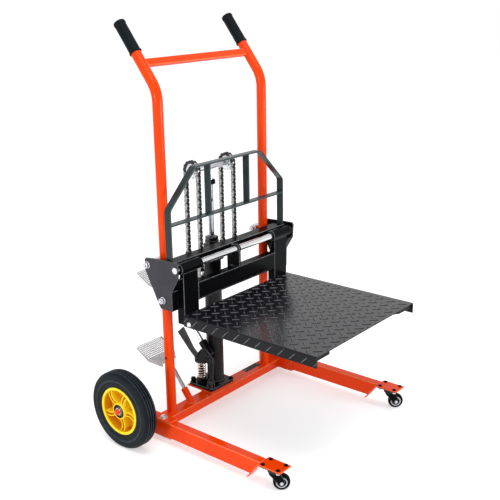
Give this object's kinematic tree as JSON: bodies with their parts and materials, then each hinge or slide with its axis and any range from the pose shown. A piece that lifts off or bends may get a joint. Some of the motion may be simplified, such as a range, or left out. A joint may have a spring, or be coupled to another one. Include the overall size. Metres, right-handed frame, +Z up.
{
  "type": "high-lift pallet truck",
  "caption": "Hand truck with straddle legs and two bent upright tubes: a foot-pumped jack and chains raise a flat platform on a roller carriage.",
  "frame": {"origin": "middle of the footprint's bounding box on the floor", "axes": "+Z up; -Y to the front, where the platform points; +X along the cross beam, away from the pump's side"},
  "size_m": [0.8786, 0.8598, 1.2862],
  "materials": {
    "frame_paint": "gloss orange-red paint",
    "black_paint": "gloss black paint",
    "deck_paint": "black paint on chequered plate",
    "cast_black": "black painted casting",
    "chrome": "polished",
    "zinc": "bright zinc plating",
    "chain_steel": "oiled steel",
    "spring_steel": "bright spring wire",
    "tyre_rubber": "fine ribbed rubber",
    "grip_rubber": "satin rubber",
    "hub_plastic": "moulded yellow plastic",
    "caster_plastic": "moulded black plastic"
  },
  "bodies": {
    "frame": {"upright_left": "frame_paint", "upright_right": "frame_paint", "handle_crossbar": "frame_paint", "handle_grips": "grip_rubber", "cross_beam": "frame_paint", "leg_left": "frame_paint", "leg_right": "frame_paint", "leg_sockets": "frame_paint", "caster_brackets": "frame_paint", "caster_mounts": "zinc", "stub_axles": "frame_paint", "jack_mount": "frame_paint", "jack_base": "cast_black", "jack_cylinder": "cast_black", "gland_nut": "cast_black", "pump_barrel": "cast_black", "chain_anchor": "black_paint", "chain_rear": "chain_steel", "pump_spring": "spring_steel", "foot_step": "zinc", "frame_bolts": "zinc"},
    "ram": {"ram_rod": "chrome", "ram_crosshead": "zinc", "chain_wraps": "chain_steel", "chain_front": "chain_steel"},
    "sprocket_left": {"sprocket_left": "chain_steel"},
    "sprocket_right": {"sprocket_right": "chain_steel"},
    "carriage": {"side_plate_left": "black_paint", "side_plate_right": "black_paint", "carriage_top_bar": "black_paint", "carriage_low_bar": "black_paint", "fork_shaft": "chrome", "centre_lug": "black_paint", "load_guard": "black_paint", "roller_bolts": "zinc"},
    "roller_top_left": {"roller_top_left": "zinc"},
    "roller_top_right": {"roller_top_right": "zinc"},
    "roller_low_left": {"roller_low_left": "zinc"},
    "roller_low_right": {"roller_low_right": "zinc"},
    "fork_frame": {"fork_left": "black_paint", "fork_right": "black_paint", "fork_cross_plate": "black_paint", "platform": "deck_paint", "platform_bolts": "zinc"},
    "wheel_left": {"wheel_hub_left": "hub_plastic", "tyre_left": "tyre_rubber"},
    "wheel_right": {"wheel_hub_right": "hub_plastic", "tyre_right": "tyre_rubber"},
    "caster_fork_left": {"caster_fork_left": "black_paint"},
    "caster_fork_right": {"caster_fork_right": "black_paint"},
    "caster_wheel_left": {"caster_wheel_left": "caster_plastic"},
    "caster_wheel_right": {"caster_wheel_right": "caster_plastic"},
    "fulcrum_link": {"fulcrum_link": "cast_black"},
    "pump_lever": {"pump_lever": "cast_black", "lever_side_arm": "cast_black", "pump_pedal": "zinc"},
    "pump_plunger": {"pump_plunger": "zinc"},
    "release_valve": {"release_valve": "zinc"}
  },
  "joints": [
    {"name": "lift", "type": "slide", "parent": "frame", "child": "ram", "axis": [0, 0, 1], "range_m": [-0.1651, 0.2159], "deforming": ["chain_rear"]},
    {"name": "carriage_rise", "type": "slide", "parent": "ram", "child": "carriage", "axis": [0, 0, 1], "range_m": [-0.1651, 0.2159], "deforming": ["chain_front"]},
    {"name": "platform_fold", "type": "hinge", "parent": "carriage", "child": "fork_frame", "pos_m": [0, 0.06907, 0.566], "axis": [-1, 0, 0], "range_deg": [0, 85]},
    {"name": "pump_stroke", "type": "hinge", "parent": "fulcrum_link", "child": "pump_lever", "pos_m": [-0.057, 0.14308, 0.175], "axis": [-1, 0, 0], "range_deg": [0, 11], "stiffness_Nm_per_rad": 40, "springref_deg": -14.32},
    {"name": "link_rock", "type": "hinge", "parent": "frame", "child": "fulcrum_link", "pos_m": [-0.05, 0.15207, 0.086], "axis": [-1, 0, 0], "range_deg": [0, 4]},
    {"name": "plunger_slide", "type": "slide", "parent": "frame", "child": "pump_plunger", "axis": [0, 0, -1], "range_m": [0, 0.0155], "deforming": ["pump_spring"]},
    {"name": "release_turn", "type": "hinge", "parent": "frame", "child": "release_valve", "pos_m": [-0.052, 0.23308, 0.078], "axis": [0, 0, 1], "range_deg": [0, 120]},
    {"name": "sprocket_left_turn", "type": "hinge", "parent": "ram", "child": "sprocket_left", "pos_m": [-0.083, 0.17608, 0.822], "axis": [1, 0, 0], "continuous": true},
    {"name": "roller_top_left_turn", "type": "hinge", "parent": "carriage", "child": "roller_top_left", "pos_m": [-0.239, 0.18438, 0.563], "axis": [1, 0, 0], "continuous": true},
    {"name": "roller_low_left_turn", "type": "hinge", "parent": "carriage", "child": "roller_low_left", "pos_m": [-0.239, 0.12377, 0.461], "axis": [1, 0, 0], "continuous": true},
    {"name": "wheel_left_turn", "type": "hinge", "parent": "frame", "child": "wheel_left", "pos_m": [-0.4065, 0.19157, 0.125], "axis": [1, 0, 0], "continuous": true},
    {"name": "caster_left_swivel", "type": "hinge", "parent": "frame", "child": "caster_fork_left", "pos_m": [-0.315, -0.32593, 0.06], "axis": [0, 0, 1], "continuous": true},
    {"name": "caster_left_roll", "type": "hinge", "parent": "caster_fork_left", "child": "caster_wheel_left", "pos_m": [-0.30214, -0.34125, 0.025], "axis": [0.766, 0.6428, 0], "continuous": true},
    {"name": "sprocket_right_turn", "type": "hinge", "parent": "ram", "child": "sprocket_right", "pos_m": [0.083, 0.17608, 0.822], "axis": [1, 0, 0], "continuous": true},
    {"name": "roller_top_right_turn", "type": "hinge", "parent": "carriage", "child": "roller_top_right", "pos_m": [0.239, 0.18438, 0.563], "axis": [1, 0, 0], "continuous": true},
    {"name": "roller_low_right_turn", "type": "hinge", "parent": "carriage", "child": "roller_low_right", "pos_m": [0.239, 0.12377, 0.461], "axis": [1, 0, 0], "continuous": true},
    {"name": "wheel_right_turn", "type": "hinge", "parent": "frame", "child": "wheel_right", "pos_m": [0.4065, 0.19157, 0.125], "axis": [1, 0, 0], "continuous": true},
    {"name": "caster_right_swivel", "type": "hinge", "parent": "frame", "child": "caster_fork_right", "pos_m": [0.315, -0.32593, 0.06], "axis": [0, 0, 1], "continuous": true},
    {"name": "caster_right_roll", "type": "hinge", "parent": "caster_fork_right", "child": "caster_wheel_right", "pos_m": [0.32786, -0.34125, 0.025], "axis": [0.766, 0.6428, 0], "continuous": true}
  ],
  "couplings": [
    {"joint": "carriage_rise", "follows": "lift", "ratio": 1},
    {"joint": "link_rock", "follows": "pump_stroke", "ratio": 0.348},
    {"joint": "plunger_slide", "follows": "pump_stroke", "m_per_rad": 0.0793},
    {"joint": "sprocket_left_turn", "follows": "lift", "rad_per_m": -38.057},
    {"joint": "roller_top_left_turn", "follows": "lift", "rad_per_m": 142.86},
    {"joint": "roller_low_left_turn", "follows": "lift", "rad_per_m": -142.86},
    {"joint": "sprocket_right_turn", "follows": "lift", "rad_per_m": -38.057},
    {"joint": "roller_top_right_turn", "follows": "lift", "rad_per_m": 142.86},
    {"joint": "roller_low_right_turn", "follows": "lift", "rad_per_m": -142.86}
  ]
}
